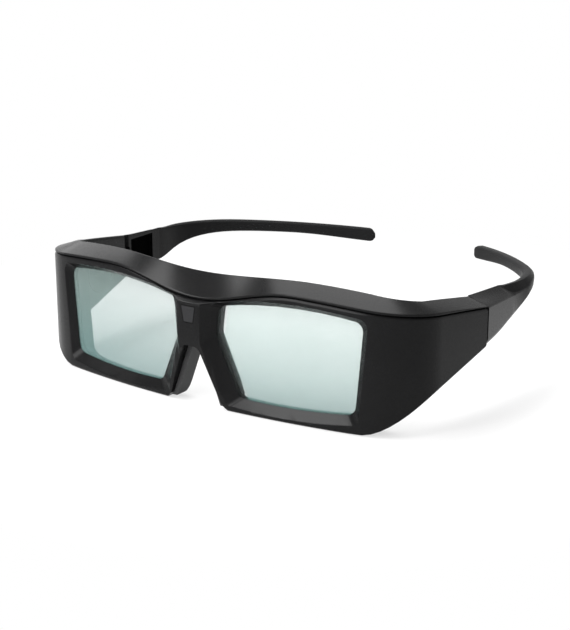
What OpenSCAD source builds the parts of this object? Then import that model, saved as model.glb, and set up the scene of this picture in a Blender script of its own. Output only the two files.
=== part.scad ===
// Active-shutter 3D glasses: a wrap-around housing with two liquid-crystal shutter lenses,
// an infrared window in the bridge and two folding temples that curl in behind the head.
// X runs across the face, +X is the wearer's left. Y runs back from the bridge, Z is up.
// Lengths along the "band" are measured from the bridge round the front to the hinge seam.

/* [Housing plan] */
// Half the width at the hinge seams
half_w = 88.7; // [84:0.1:94]
// Radius of the wrapped front
front_r = 345; // [260:5:450]
// Radius of the corners where the front turns into the sides
corner_r = 24; // [18:0.5:30]
// Outward lean of the sides towards the back, degrees
side_flare = 6.3; // [3:0.1:9]
// Distance from the bridge face back to the hinge seams
seam_y = 58.9; // [54:0.1:66]
// How far the bridge ridge stands in front of the parting line
bridge_proud = 3.9; // [2:0.1:5]
// Half the flat width of the bridge ridge
ridge_half_w = 5; // [4:0.1:5.6]
// Width of the slope on each side of the ridge
ridge_slope_w = 5.5; // [3:0.1:8]

/* [Housing heights] */
// Parting line above the rim at the bridge
parting_bridge_z = 40.1; // [36:0.1:44]
// Parting line at its crest over each lens
parting_crest_z = 46.4; // [44:0.1:50]
// Parting line at the hinge seam
parting_seam_z = 38.3; // [36:0.1:40]
// Rear edge of the deck at the bridge
deck_bridge_z = 49.2; // [46:0.1:54]
// Rear edge of the deck at its crest
deck_crest_z = 50.5; // [48:0.1:56]
// Rear edge of the deck at the hinge seam
deck_seam_z = 40.8; // [39.5:0.1:43]
// Rim of the side at the hinge seam
rim_seam_z = 23.3; // [18:0.1:26]
// Band length from the bridge to the crest
crest_s = 40; // [32:1:48]
// Rim where the corner turns into the straight side
rim_side_z = 15; // [12:0.1:18]
// Band length from the bridge to where the rim starts to rise
rim_rise_s = 65; // [58:1:68]

/* [Housing walls] */
// Depth of the housing at the bridge, from parting line to rear edge
depth_bridge = 6.6; // [6:0.1:9]
// Depth of the housing from the corners to the seams
depth_side = 9.9; // [9:0.1:13]
// Bezel thickness round the lenses
bezel_t = 4.3; // [4:0.1:4.4]
// Wall of the front shell at the bridge and at the sides
front_wall = 2; // [1.5:0.1:2.2]
// Wall of the rear shell
rear_wall = 1.8; // [1.2:0.1:2.2]
// Rounding of the outer edges
edge_r = 1.2; // [0.6:0.1:1.6]
// Height of the deck's front lip over the parting line
deck_lip = 0.6; // [0.4:0.1:1]
// Width of the parting groove
groove = 0.3; // [0.2:0.05:0.5]

/* [Lenses] */
// Width of a lens opening along its top
lens_w = 56; // [52:0.5:58]
// Height of a lens opening at its nose side
lens_h = 32.8; // [28:0.1:34]
// Rim to the bottom edge of the opening
lens_sill = 5.7; // [5:0.1:7]
// Distance of the lens middle from the plane of symmetry
lens_x = 37.6; // [37:0.1:40]
// Distance of the lens middle behind the bridge face
lens_y = 9.3; // [9:0.1:9.8]
// Wrap of each lens round the face, degrees
lens_wrap = 7; // [5:0.1:8]
// How far the nose corner at the bottom is set in
nose_inset = 8; // [5:0.1:11]
// Drop from the top edge to the bend on the nose side
bend_drop = 10.4; // [7:0.1:14]
// How far the bend stands out past the top corner
bend_out = 1.3; // [0.5:0.1:2]
// How far the outer edge leans in at the bottom
outer_lean = 2.8; // [0:0.1:5]
// Rise of the top and bottom edges towards the outer side
lens_rise = 1.2; // [0:0.1:2]
// Crown of the top edge over the line of its ends
lens_crown = 2.4; // [0:0.1:3]
// Belly of the bottom edge under the line of its ends
lens_belly = 1.2; // [0:0.1:1.6]
// Corner radius of the opening
lens_corner_r = 3.4; // [2:0.1:5]
// Width of the bezel chamfer at the top
chamfer_top = 2.4; // [1.5:0.1:3]
// Width of the bezel chamfer at the outer side
chamfer_outer = 2.8; // [1.5:0.1:4]
// Width of the bezel chamfer at the bottom
chamfer_bottom = 3.4; // [2:0.1:4]
// Width of the bezel chamfer beside the nose
chamfer_nose = 5.2; // [4:0.1:5.6]
// Width of the bezel chamfer beside the bridge
chamfer_bridge = 3.9; // [3:0.1:4.2]
// Overlap of the lens behind the opening
lens_lip = 1.6; // [1:0.1:2]
// Thickness of a polariser film
polariser_t = 0.25; // [0.15:0.05:0.4]
// Thickness of one glass sheet of the shutter cell
glass_t = 0.9; // [0.5:0.05:1]
// Height of the contact ledge along the top of the cell
ledge_h = 1.2; // [0.8:0.1:1.4]
// Thickness of the foam gasket behind the lens
gasket_t = 0.6; // [0.4:0.1:1]
// Depth of the collar round the rear window
collar_t = 2.8; // [2.7:0.1:3.4]

/* [Nose] */
// Top of the nose arch above the rim
arch_z = 23.4; // [21:0.1:25]
// Half the width of the arch at its top
arch_top_half_w = 3.7; // [3:0.1:4.2]
// Half the width of the arch at the rim
arch_rim_half_w = 12.4; // [11:0.1:12.8]
// Rounding of the arch's top corners
arch_r = 2.6; // [2:0.1:3]
// Wall of the nose pad
pad_t = 1.8; // [1:0.1:2.2]
// Front of the nose pad behind the bridge face
pad_front_y = 5.4; // [4.5:0.1:6]
// Length of the nose pad from front to back
pad_len = 7; // [6:0.1:9]
// Rounding of the pad's lower corners
pad_r = 2.6; // [1:0.1:3]

/* [Infrared receiver] */
// Half the width of the window at its top
window_top_half_w = 3.3; // [2.5:0.1:3.6]
// Half the width of the window at its bottom
window_bottom_half_w = 2.2; // [1.5:0.1:2.5]
// Height of the window
window_h = 6.4; // [5:0.1:8]
// Top of the window below the parting line
window_drop = 1.6; // [1.4:0.1:2.5]
// Thickness of the window
window_t = 1.2; // [0.8:0.1:1.6]
// Width of the receiver
receiver_w = 3.2; // [2.5:0.1:3.4]
// Height of the receiver
receiver_h = 4; // [3:0.1:4.2]
// Depth of the receiver
receiver_d = 3; // [2:0.1:3.6]

/* [Electronics] */
// Thickness of the circuit board
board_t = 1; // [0.6:0.1:1.2]
// Length of the circuit board
board_len = 15; // [12:0.5:16]
// Height of the circuit board
board_h = 12; // [9:0.5:13]
// Distance from the hinge seam to the rear end of the board
board_back = 9.5; // [9:0.5:11]
// Height of the board's lower edge over the rim at the hinge seam
board_up = 1.7; // [1:0.1:2.5]
// Edge of the controller chip
chip_w = 5; // [4:0.5:6]
// Thickness of the controller chip
chip_t = 1; // [0.6:0.1:1.2]
// Body edge of the power switch
switch_w = 3.5; // [3:0.1:4.5]
// Height of the power switch
switch_h = 2; // [1.5:0.1:2.2]
// Radius of the power button
button_r = 2.4; // [2:0.1:2.8]
// Travel of the power button
button_travel = 0.35; // [0.2:0.05:0.4]
// How far the power button stands out of the inner wall
button_proud = 0.7; // [0.5:0.1:1]
// Height of the flat lead that crosses the bridge
lead_h = 2.2; // [1.5:0.1:2.4]
// Thickness of the flat lead
lead_t = 0.25; // [0.15:0.05:0.35]

/* [Battery] */
// Diameter of the coin cell
cell_d = 16; // [14:0.5:16]
// Thickness of the coin cell
cell_t = 3.2; // [2:0.1:3.2]
// Distance from the hinge seam to the middle of the cell
cell_back = 19.2; // [19:0.1:19.6]
// Gap between the cell holder and the floor of the side under it
cell_up = 0.8; // [0.3:0.1:1.2]
// Wall of the cell holder
holder_wall = 1; // [0.8:0.1:1.2]
// Thickness of a battery contact
contact_t = 0.3; // [0.2:0.05:0.4]
// Radius of the cover screw's shank
screw_r = 0.8; // [0.6:0.05:0.9]
// Length of the cover screw
screw_len = 5; // [3:0.5:5.5]
// Radius of the cover screw's head
screw_head_r = 1.5; // [1.2:0.05:1.6]

/* [Hinges] */
// Distance of the hinge axis inside the inner face of the side
hinge_in = 1.2; // [1:0.1:1.6]
// Radius of the hinge knuckles
knuckle_r = 2.2; // [1.8:0.05:2.4]
// Radius of the hinge pin
pin_r = 0.8; // [0.6:0.05:1]
// Length of the hinge pin
pin_len = 9.6; // [8:0.1:10]
// Gap between knuckles along the pin
knuckle_gap = 0.2; // [0.15:0.05:0.3]
// Length of the hinge block along the side
block_len = 6.2; // [5.5:0.1:6.5]

/* [Temples] */
// Length of the straight root of a temple
root_len = 40; // [36:0.5:46]
// Inward heading of the root, degrees
root_heading = 7; // [5:0.1:9]
// Radius of the bend behind the ear
bend_r = 60; // [45:1:80]
// Inward heading after the bend, degrees
bend_heading = 38; // [32:0.5:44]
// Length of the tail behind the bend
tail_len = 62.5; // [50:0.5:70]
// Inward heading at the tip, degrees
tip_heading = 52; // [46:0.5:58]
// Length of the hollow box at the front of a temple
box_len = 24; // [22:0.5:28]
// Thickness of the arm
arm_t = 4.6; // [3.6:0.1:5.4]
// Height of the arm where it leaves the box
arm_root_h = 13.2; // [11:0.1:14]
// Height of the arm at its waist
arm_waist_h = 4.5; // [4:0.1:6]
// Height added at the paddle of the tip
paddle_h = 1.2; // [0:0.1:2.5]
// Length over which the arm thins from the box to its waist
taper_len = 20; // [14:0.5:24]
// Drop of the arm's top from the box to the tip
arm_drop = 10.2; // [6:0.1:14]
// Step of the temple's top over the deck at the seam
box_rise = 0.2; // [0:0.05:0.4]
// Height of the box's inner edge over the arm where they meet
box_end_rise = 0.6; // [0:0.1:1]
// Length over which the scoop opens beside the root of the arm
scoop_len = 6; // [4:0.5:8]
// Depth of the scoop
scoop_depth = 1.4; // [0.8:0.1:1.8]
// Width of the arm's top beside the scoop
strip_w = 1; // [0.6:0.1:1.4]
// Depth of the pocket in the inner side of the box
pocket_depth = 4.6; // [3:0.1:4.8]
// Length of the pocket
pocket_len = 14; // [10:0.5:15]
// Distance from the seam to the pocket
pocket_back = 5.5; // [5:0.1:6]
// Wall of the box under the pocket
pocket_floor = 3.6; // [3:0.1:4]
// Wall of the box over the pocket
pocket_roof = 2.4; // [2:0.1:3]

/* [Clearances] */
// Gap between a temple and the housing at the seam
seam_gap = 0.5; // [0.4:0.05:0.6]
// Gap between a fixed piece and its seat
seat_gap = 0.15; // [0.1:0.05:0.25]
// Radial clearance of the hinge pin in the temple
pin_run = 0.04; // [0.02:0.01:0.08]
// Radial clearance round a knuckle that turns inside a recess
knuckle_run = 0.35; // [0.3:0.05:0.5]
// Gap round the infrared window
window_gap = 0.08; // [0.04:0.01:0.12]
// Gap between the lens gasket and the collar
collar_gap = 0.05; // [0.02:0.01:0.1]
// Spare travel behind the power button
press_gap = 0.1; // [0.05:0.05:0.2]
// Radial clearance of a pin or screw in its fixed hole
fixed_fit = 0.01; // [0.005:0.005:0.02]
// Radial clearance of the cover screw in the battery cover
screw_run = 0.1; // [0.05:0.05:0.2]

/* [Hidden] */
$fn = 48;

// How far cuts run past the faces they open, and the depth that goes through the whole front
cut_over = 1;
through = seam_y / 2;

// Colours
shell_black = [0.06, 0.06, 0.065];
pad_black = [0.09, 0.09, 0.09];
window_black = [0.03, 0.03, 0.035];
film_grey = [0.62, 0.70, 0.68, 0.6];
glass_green = [0.74, 0.86, 0.82, 0.6];
foam_black = [0.12, 0.12, 0.12];
board_green = [0.05, 0.30, 0.16];
steel = [0.75, 0.75, 0.76];
copper_tan = [0.72, 0.50, 0.22];

// General curve and outline functions
function smooth(t) = pow(sin(90 * min(1, max(0, t))), 2);
function unit(v) = v / norm(v);
function out_dir(b) = [sin(b), -cos(b)];
function left_turn(v) = [-v[1], v[0]];
function along(heading) = [-sin(heading), cos(heading)];

// Outline whose edges move outwards, each by its own amount; points run clockwise
function moved_outline(pts, by) = let (n = len(pts)) [
  for (i = [0 : n - 1])
    let (
      before = left_turn(unit(pts[i] - pts[(i + n - 1) % n])),
      after = left_turn(unit(pts[(i + 1) % n] - pts[i])),
      g1 = by[(i + n - 1) % n],
      g2 = by[i],
      c = before * after,
      k = 1 - c * c
    )
    pts[i] + before * (g1 - c * g2) / k + after * (g2 - c * g1) / k
];

// Outline with its corners turned into arcs; points of a gentle curve stay single
function rounded_outline(pts, r, steps = 6) = let (n = len(pts)) [
  for (i = [0 : n - 1])
    let (
      a = unit(pts[(i + n - 1) % n] - pts[i]),
      b = unit(pts[(i + 1) % n] - pts[i]),
      half = acos(a * b) / 2,
      centre = pts[i] + unit(a + b) * r / sin(half),
      first = pts[i] + a * r / tan(half) - centre,
      turn = cross(first, pts[i] + b * r / tan(half) - centre) > 0 ? 1 : -1,
      sweep = turn * (180 - 2 * half),
      pieces = abs(sweep) < 12 ? 0 : steps
    )
    for (k = [0 : pieces])
      let (q = pieces == 0 ? sweep / 2 : sweep * k / pieces)
      centre + [first[0] * cos(q) - first[1] * sin(q), first[0] * sin(q) + first[1] * cos(q)]
];

// Solid through closed sections with the same number of points, which run
// counter-clockwise for an eye that looks along the row of sections
module skin(sections) {
  n = len(sections[0]);
  last = len(sections) - 1;
  polyhedron(
    points = [for (sec = sections) for (p = sec) p],
    faces = concat(
      [[for (i = [n - 1 : -1 : 0]) i]],
      [for (j = [0 : last - 1]) for (i = [0 : n - 1]) [j * n + i, j * n + (i + 1) % n, (j + 1) * n + i]],
      [for (j = [0 : last - 1]) for (i = [0 : n - 1])
        [(j + 1) * n + i, j * n + (i + 1) % n, (j + 1) * n + (i + 1) % n]],
      [[for (i = [0 : n - 1]) last * n + i]]
    )
  );
}

// Plan of the housing: front arc, corner arc and straight side, all tangent
front_centre_y = bridge_proud + front_r;
side_dir = [sin(side_flare), cos(side_flare)];
side_in = [-cos(side_flare), sin(side_flare)];
seam_pt = [half_w, seam_y];
corner_from = seam_pt + corner_r * side_in - [0, front_centre_y];
corner_b = corner_from * side_dir;
corner_c = corner_from * corner_from - pow(front_r - corner_r, 2);
side_len = corner_b + sqrt(corner_b * corner_b - corner_c);
corner_centre = seam_pt + corner_r * side_in - side_len * side_dir;
front_angle = asin(corner_centre[0] / (front_r - corner_r));
side_angle = 90 - side_flare;
front_s = front_r * front_angle * PI / 180;
corner_s = front_s + corner_r * (side_angle - front_angle) * PI / 180;
seam_s = corner_s + side_len;

// Direction in plan of the outward normal at band length s
function band_angle(s) = s < front_s
  ? s * 180 / (front_r * PI)
  : min(side_angle, front_angle + (s - front_s) * 180 / (corner_r * PI));

// Outer point in plan at band length s
function band_point(s) = let (b = band_angle(s))
  s < front_s ? [0, front_centre_y] + front_r * out_dir(b)
  : s < corner_s ? corner_centre + corner_r * out_dir(b)
  : seam_pt - (seam_s - s) * side_dir;

// Heights and depths along the band
parting_bow = 1.4;
deck_bow = 1.5;
side_slope = (rim_seam_z - rim_side_z) / side_len;
function past_crest(s) = max(0, s - crest_s) / (seam_s - crest_s);
function parting_z(s) = parting_bridge_z + (parting_crest_z - parting_bridge_z) * smooth(s / crest_s)
  - (parting_crest_z - parting_seam_z) * pow(past_crest(s), parting_bow);
function deck_z(s) = deck_bridge_z + (deck_crest_z - deck_bridge_z) * smooth(s / crest_s)
  - (deck_crest_z - deck_seam_z) * pow(past_crest(s), deck_bow);
function rim_z(s) = s > corner_s ? rim_side_z + side_slope * (s - corner_s)
  : let (turn = corner_s - rim_rise_s, k = max(0, s - rim_rise_s) / turn)
    rim_side_z * k * k * (3 - 2 * k) - side_slope * turn * k * k * (1 - k);
function floor_z(s) = rim_z(s) + groove / 2 + rear_wall;
function depth(s) = depth_bridge + (depth_side - depth_bridge) * smooth(s / front_s);

// Ridge of the bridge: full height above its foot, wider and lower beside the nose
ridge_fade = 0.38;
ridge_foot_z = arch_z + 3;
function ridge_mid_z(rim) = rim + edge_r + ridge_fade * (ridge_foot_z - rim - edge_r);
ridge_widen = (arch_rim_half_w - arch_top_half_w) / arch_z * (ridge_foot_z - ridge_mid_z(0));
function ridge(s, widen = 0) = bridge_proud * (1 - smooth((s - ridge_half_w - widen) / ridge_slope_w));
bezel_from_s = 5;
bezel_grow_s = 6;
bezel_end = 1 / 1.6;
function front_t(s) = front_wall + (bezel_t - front_wall) * (smooth((s - bezel_from_s) / bezel_grow_s)
  - smooth((s - front_s) / ((corner_s - front_s) * bezel_end)));

// Stations along one half of the band
front_steps = 16;
corner_steps = 9;
side_steps = 4;
half_stations = concat(
  [for (i = [0 : front_steps - 1]) front_s * pow(i / front_steps, 1.25)],
  [for (i = [0 : corner_steps - 1]) front_s + (corner_s - front_s) * i / corner_steps],
  [for (i = [0 : side_steps]) corner_s + side_len * i / side_steps]
);
station_count = len(half_stations);
stations = concat(
  [for (i = [station_count - 1 : -1 : 1]) -half_stations[i]],
  half_stations
);

// Section point [outward offset, height] set on the band at signed length s
function on_band(s, p) = let (
    q = band_point(abs(s)) + p[0] * out_dir(band_angle(abs(s)))
  ) [sign(s) * q[0], q[1], p[1]];
function on_band_mid(s, p) = s == 0 ? [0, bridge_proud - p[0], p[1]] : on_band(s, p);

// Section of the front shell
function front_profile(s) = let (
    rim = rim_z(s),
    top = parting_z(s) - groove / 2,
    face = ridge(s),
    back = -front_t(s),
    r = edge_r
  ) [
    [back, rim], [-r, rim], [-0.3 * r, rim + 0.3 * r], [0, rim + r],
    [ridge_fade * ridge(s, ridge_widen), ridge_mid_z(rim)], [face, ridge_foot_z],
    [face, top - r], [face - 0.3 * r, top - 0.3 * r], [-r, top], [back, top]
  ];

// Depth of the front face behind the bridge face, by distance from the middle and height
function face_y(x, z) = front_centre_y - sqrt(front_r * front_r - x * x) - lookup(z, [
    [edge_r, 0], [ridge_mid_z(0), ridge_fade * ridge(x, ridge_widen)], [ridge_foot_z, ridge(x)]
  ]);

// Lip of the deck, which runs out towards the seam
lip_fade = 0.7;
function lip(s) = deck_lip * (1 - lip_fade * smooth((s - corner_s) / side_len));

// Height of the deck's outer face and of the roof under it at an inward offset
roof_t = 1.5 * rear_wall;
function deck_face_z(s, inward) = let (
    low = parting_z(s) + 1.6 * lip(s),
    k = (inward - lip(s)) / (depth(s) - edge_r - lip(s))
  ) low + (deck_z(s) - low) * k;
function roof_z(s, inward) = deck_face_z(s, inward) - roof_t;

// Section of the rear shell
function rear_profile(s) = let (
    rim = rim_z(s) + groove / 2,
    low = parting_z(s) + groove / 2,
    top = deck_z(s),
    d = depth(s),
    lap = front_t(s) + seat_gap,
    inner = d - rear_wall,
    l = lip(s),
    r = edge_r
  ) [
    [-groove / 2, low], [-groove / 2, low + 0.8 * l], [-l, low + 1.4 * l],
    [-d + r, top], [-d + 0.3 * r, top - 0.3 * r], [-d, top - r], [-d, rim + 0.4 * r],
    [-d + 0.4 * r, rim], [-lap, rim], [-lap, floor_z(s)], [-inner, floor_z(s)],
    [-inner, roof_z(s, inner)], [-lap, max(low + seat_gap, roof_z(s, lap))], [-lap, low]
  ];

function band_sections(profiles) = [
  for (i = [0 : len(stations) - 1]) [for (p = profiles[i]) on_band_mid(stations[i], p)]
];

// Path of a temple's outer face in plan, by length from the seam
bend_len = bend_r * (bend_heading - root_heading) * PI / 180;
tail_r = tail_len * 180 / ((tip_heading - bend_heading) * PI);
arm_len = root_len + bend_len + tail_len;
function arm_heading(s) = s < root_len ? root_heading
  : s < root_len + bend_len ? root_heading + (s - root_len) * 180 / (bend_r * PI)
  : bend_heading + (s - root_len - bend_len) * 180 / (tail_r * PI);
function arc_step(r, h0, h1) = r * [cos(h1) - cos(h0), sin(h1) - sin(h0)];
root_end = seam_pt + root_len * along(root_heading);
bend_end = root_end + arc_step(bend_r, root_heading, bend_heading);
function arm_outer(s) = s < root_len ? seam_pt + s * along(root_heading)
  : s < root_len + bend_len ? root_end + arc_step(bend_r, root_heading, arm_heading(s))
  : bend_end + arc_step(tail_r, bend_heading, arm_heading(s));
function arm_in(s) = [-cos(arm_heading(s)), -sin(arm_heading(s))];

// Heights of a temple: the box at the front, then the arm
box_fall = 1.8;
arm_top_z = deck_seam_z - box_fall;
arm_low_z = arm_top_z - arm_root_h;
arm_inset = 1.6;
arm_bow = 1.35;
taper_bow = 1.35;
edge_fall = 0.083;
paddle_from = 0.65;
function past_box(s) = max(0, s - box_len) / (arm_len - box_len);
function arm_top(s) = arm_top_z - arm_drop * pow(past_box(s), arm_bow);
function thinning(s) = exp(-pow(max(0, s - box_len) / taper_len, taper_bow));
function arm_h(s) = arm_waist_h + (arm_root_h - arm_waist_h) * thinning(s)
  + paddle_h * smooth((past_box(s) - paddle_from) / (1 - paddle_from));
function edge_z(s) = parting_seam_z + groove / 2 + box_rise - edge_fall * s;

// Rounding of a temple's inner edges and of its lower outer edge
arm_r = 1.35;
arm_crown = 0.15;
function to_arm(s) = smooth((s - box_len) / (root_len - box_len));
function inner_r(s) = 0.4 * edge_r + (arm_r - 0.4 * edge_r) * to_arm(s);
function outer_low_r(s) = 2.4 * edge_r + (arm_r - 2.4 * edge_r) * to_arm(s);
function inner_top(s, w, top) = let (a = inner_r(s))
  [[w - a, top], [w - 0.3 * a, top - 0.3 * a], [w, top - a]];
function low_corners(s, w, low) = let (a = inner_r(s), b = outer_low_r(s)) [
    [w, low + a], [w - 0.3 * a, low + 0.3 * a], [w - a, low],
    [b, low], [0.3 * b, low + 0.3 * b], [0, low + b]
  ];

// Slope of a temple's top from its outer edge to its inner edge
edge_in = 0.5 * edge_r;
function slope_z(s, x, w, edge, top) = edge + (top - edge) * max(0, x - edge_in) / (w - inner_r(s) - edge_in);

// Section of the box at the front of a temple: inward offset and height, from the outer face up
function box_section(s) = let (
    k = s / box_len,
    front = deck_seam_z + box_rise,
    top = front + (arm_top_z + box_end_rise - front) * k,
    low = rim_seam_z + (arm_low_z - rim_seam_z) * k * k,
    w = depth_side + (arm_t + arm_inset - depth_side) * k,
    edge = edge_z(s),
    third = (w - inner_r(s) - edge_in) / 3
  ) concat(
    [[0, edge - edge_in]],
    [for (i = [0 : 2]) let (x = edge_in + third * i) [x, slope_z(s, x, w, edge, top)]],
    inner_top(s, w, top),
    low_corners(s, w, low)
  );

// Scoop beside the root of the arm: how far it has opened, and how far the arm has become whole behind it
strip_run = 3;
lip_w = 1;
foot_w = 0.4;
edge_share = 0.62;
function scoop(s) = smooth((s - box_len) / scoop_len);
function whole(s) = smooth((s - box_len) / (strip_run * (root_len - box_len)));

// Section of the arm: a lip along the outer face, the foot of the scoop, the strip on top; shrunk at the tip
function arm_section(s, shrink) = let (
    h = arm_h(s),
    open = scoop(s),
    top = arm_top(s) + box_end_rise * (1 - open),
    low = arm_top(s) - h,
    m = to_arm(s),
    w = arm_t + arm_inset * (1 - m),
    edge = s < root_len ? edge_z(s) : low + edge_share * h,
    strip_x = (w - inner_r(s) - strip_w) * (1 - whole(s)) + 0.7 * arm_r * whole(s),
    strip_z = top * open + slope_z(s, strip_x, w, edge, top) * (1 - open),
    lip_x = (strip_x - foot_w) * (1 - open) + lip_w * (1 - m) * open,
    lip_z = slope_z(s, lip_x, w, edge, top),
    foot_x = lip_x + foot_w / 2 * (1 - m),
    foot_z = slope_z(s, foot_x, w, edge, top) - scoop_depth * open * (1 - m),
    crown = arm_crown * m,
    mid = [w - arm_t / 2, top - h / 2],
    pts = concat(
      [[-crown, edge - edge_in], [lip_x - crown, lip_z]],
      [[foot_x, foot_z * (1 - whole(s)) + (top - 0.7 * arm_r) * whole(s)], [strip_x, strip_z]],
      inner_top(s, w, top),
      low_corners(s, w, low)
    )
  ) [for (p = pts) [mid[0] + (p[0] - mid[0]) * (1 + shrink) / 2, mid[1] + (p[1] - mid[1]) * shrink]];

// Sections along a temple, the first one square to the side of the housing
function on_arm(s, pts) = [for (p = pts) let (q = arm_outer(s) + p[0] * arm_in(s)) [q[0], q[1], p[1]]];
function on_seam(pts) = [
  for (p = pts) let (q = seam_pt + seam_gap * side_dir + p[0] * side_in) [q[0], q[1], p[1]]
];
box_steps = 5;
scoop_steps = 6;
arm_steps = 24;
tip_len = 2.4;
tip_least = 0.35;
tip_sections = [for (k = [30, 60, 80])
  let (s = arm_len - tip_len * (1 - sin(k))) on_arm(s, arm_section(s, max(tip_least, cos(k))))];
temple_sections = concat(
  [on_seam(box_section(seam_gap))],
  [for (i = [1 : box_steps]) let (s = box_len * i / box_steps) on_arm(s, box_section(s))],
  [for (i = [1 : scoop_steps]) let (s = box_len + scoop_len * i / scoop_steps) on_arm(s, arm_section(s, 1))],
  [for (i = [1 : arm_steps])
    let (from = box_len + scoop_len, s = from + (arm_len - tip_len - from) * i / arm_steps)
    on_arm(s, arm_section(s, 1))],
  tip_sections
);

// Whole object set about the middle of its depth
overall_depth = max([for (sec = tip_sections) for (p = sec) p[1]]);
module placed() {
  translate([0, -overall_depth / 2, 0]) children();
}

// Piece set in the frame of one side: X out of the side, Y back along it, origin at the seam
module on_side(sgn) {
  placed() mirror([sgn < 0 ? 1 : 0, 0, 0])
    translate([seam_pt[0], seam_pt[1], 0]) rotate([0, 0, -side_flare]) children();
}

// Piece set in the frame of one lens: X out along the lens, Y back through it
module on_lens(sgn) {
  placed() mirror([sgn < 0 ? 1 : 0, 0, 0])
    translate([lens_x, lens_y, 0]) rotate([0, 0, lens_wrap]) children();
}

// Outline of a lens opening in its own plane, clockwise from the top nose corner
lens_steps = 7;
lens_top = lens_sill + lens_h;
function bow(a, b, k, rise) = a + (b - a) * k + [0, 4 * rise * k * (1 - k)];
lens_pts = let (x = lens_w / 2) concat(
  [for (i = [0 : lens_steps]) bow([-x, lens_top], [x, lens_top + lens_rise], i / lens_steps, lens_crown)],
  [for (i = [0 : lens_steps])
    bow([x - outer_lean, lens_sill + lens_rise], [-x + nose_inset, lens_sill], i / lens_steps, -lens_belly)],
  [[-x - bend_out, lens_top - bend_drop]]
);
chamfers = concat(
  [for (i = [1 : lens_steps]) chamfer_top], [chamfer_outer],
  [for (i = [1 : lens_steps]) chamfer_bottom], [chamfer_nose, chamfer_bridge]
);
function lens_outline(grow) = rounded_outline(
  moved_outline(lens_pts, [for (p = lens_pts) grow]), lens_corner_r + grow
);

// Plate of the lens outline between two depths behind the lens front
module lens_plate(grow, y0, y1) {
  translate([0, y1, 0]) rotate([90, 0, 0]) linear_extrude(y1 - y0) polygon(lens_outline(grow));
}

// Window behind a lens, whose sill falls away towards the back
sill_fall = 0.3;
module rear_window() {
  skin([for (y = [through, 0])
    [for (p = lens_outline(rear_window_grow))
      [p[0], y, p[1] - sill_fall * y * max(0, lens_top - p[1]) / lens_h]]
  ]);
}

// Tapered window in the bezel, from just behind the lens front to just before the front face
reach_in = -0.1;
reach_out = 1.25;
function chamfer_outline(reach) = rounded_outline(moved_outline(lens_pts, chamfers * reach), lens_corner_r);
function bezel_depth(p) = (lens_y + p[0] * sin(lens_wrap)
  - face_y(lens_x + p[0] * cos(lens_wrap), p[1])) / cos(lens_wrap);
module bezel_window() {
  depths = [for (p = chamfer_outline(1)) bezel_depth(p)];
  skin([for (reach = [reach_in, reach_out])
    let (pts = chamfer_outline(reach))
    [for (i = [0 : len(pts) - 1]) [pts[i][0], -reach * depths[i], pts[i][1]]]
  ]);
}

// Nose arch outline, clockwise from the lower left; its flanks spread at the rim
knee_z = 2.4;
foot_drop = 5;
least_r = 0.4;
knee_half_w = arch_rim_half_w - (arch_rim_half_w - arch_top_half_w) * knee_z / arch_z;
foot_half_w = knee_half_w + knee_z + foot_drop;
arch_pts = [
  [-foot_half_w, -foot_drop], [-knee_half_w, knee_z], [-arch_top_half_w, arch_z],
  [arch_top_half_w, arch_z], [knee_half_w, knee_z], [foot_half_w, -foot_drop]
];
function arch_outline(grow) = rounded_outline(
  moved_outline(arch_pts, [for (p = arch_pts) grow]), max(least_r, arch_r + grow)
);
module arch_bar(grow, y0, y1) {
  translate([0, y1, 0]) rotate([90, 0, 0]) linear_extrude(y1 - y0) polygon(arch_outline(grow));
}

// Lens stack depths behind the lens front
cell_y = polariser_t;
cell_back_y = cell_y + 2 * glass_t;
stack_y = cell_back_y + polariser_t;
gasket_y = stack_y + gasket_t;
collar_y = gasket_y + collar_gap;
rear_window_grow = 0.6;
rear_film_lap = 0.4;

// Infrared window and its seat
window_z = parting_bridge_z - window_drop;
window_outline = [
  [-window_top_half_w, window_z], [window_top_half_w, window_z],
  [window_bottom_half_w, window_z - window_h], [-window_bottom_half_w, window_z - window_h]
];
receiver_z = window_z - window_h / 2;
receiver_y = window_t + seat_gap;

// Side frame places
inner_face_x = -depth_side;
inner_wall_x = inner_face_x + rear_wall;
outer_wall_x = -front_wall;
hinge_x = inner_face_x + hinge_in;
hinge_z = rim_seam_z + groove / 2 + rear_wall + seat_gap;
knuckle_h = (pin_len - 2 * knuckle_gap) / 3;
mid_z = hinge_z + knuckle_h + knuckle_gap;
board_x = outer_wall_x - seat_gap;
board_z = rim_seam_z + board_up;
switch_y = -board_back - board_len / 2;
switch_z = board_z + board_h / 2;
switch_x = board_x - board_t;
plunger_t = 0.5;
plunger_r = switch_w / 4;
button_gap = button_travel + press_gap;
flange_t = 0.8;
flange_lap = 0.8;
chip_edge = 0.4;
dome_t = 0.4;
dome_proud = 0.1;

// Cell holder, raised clear of the sloping floor of the side, and the boss of its cover screw
holder_r = cell_d / 2 + seat_gap + holder_wall;
holder_floor_t = 1.4;
holder_x = outer_wall_x - seat_gap;
contact_dome = 0.2;
cell_step = 0.4;
cell_rim = 1;
cell_x = holder_x - holder_floor_t - contact_t - contact_dome;
cell_z = cell_up + max([for (t = [-1 : 0.125 : 1])
  floor_z(seam_s - cell_back + t * holder_r) + holder_r * sqrt(1 - t * t)]);
cover_r = holder_r - holder_wall;
boss_wall = 1;
boss_lap = 0.4;
boss_up = 0.6;
boss_y = -cell_back + holder_r + screw_head_r - boss_lap;
boss_r = screw_r + boss_wall;
boss_z = cell_z + boss_up;
lug_wall = 0.7;
lug_r = screw_head_r + lug_wall;
slot_d = 0.5;
cover_slot_w = 1.2;
screw_slot_w = 0.4;
head_sink = 0.1;
head_t = 0.8;
thread_spare = 0.5;

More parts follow.
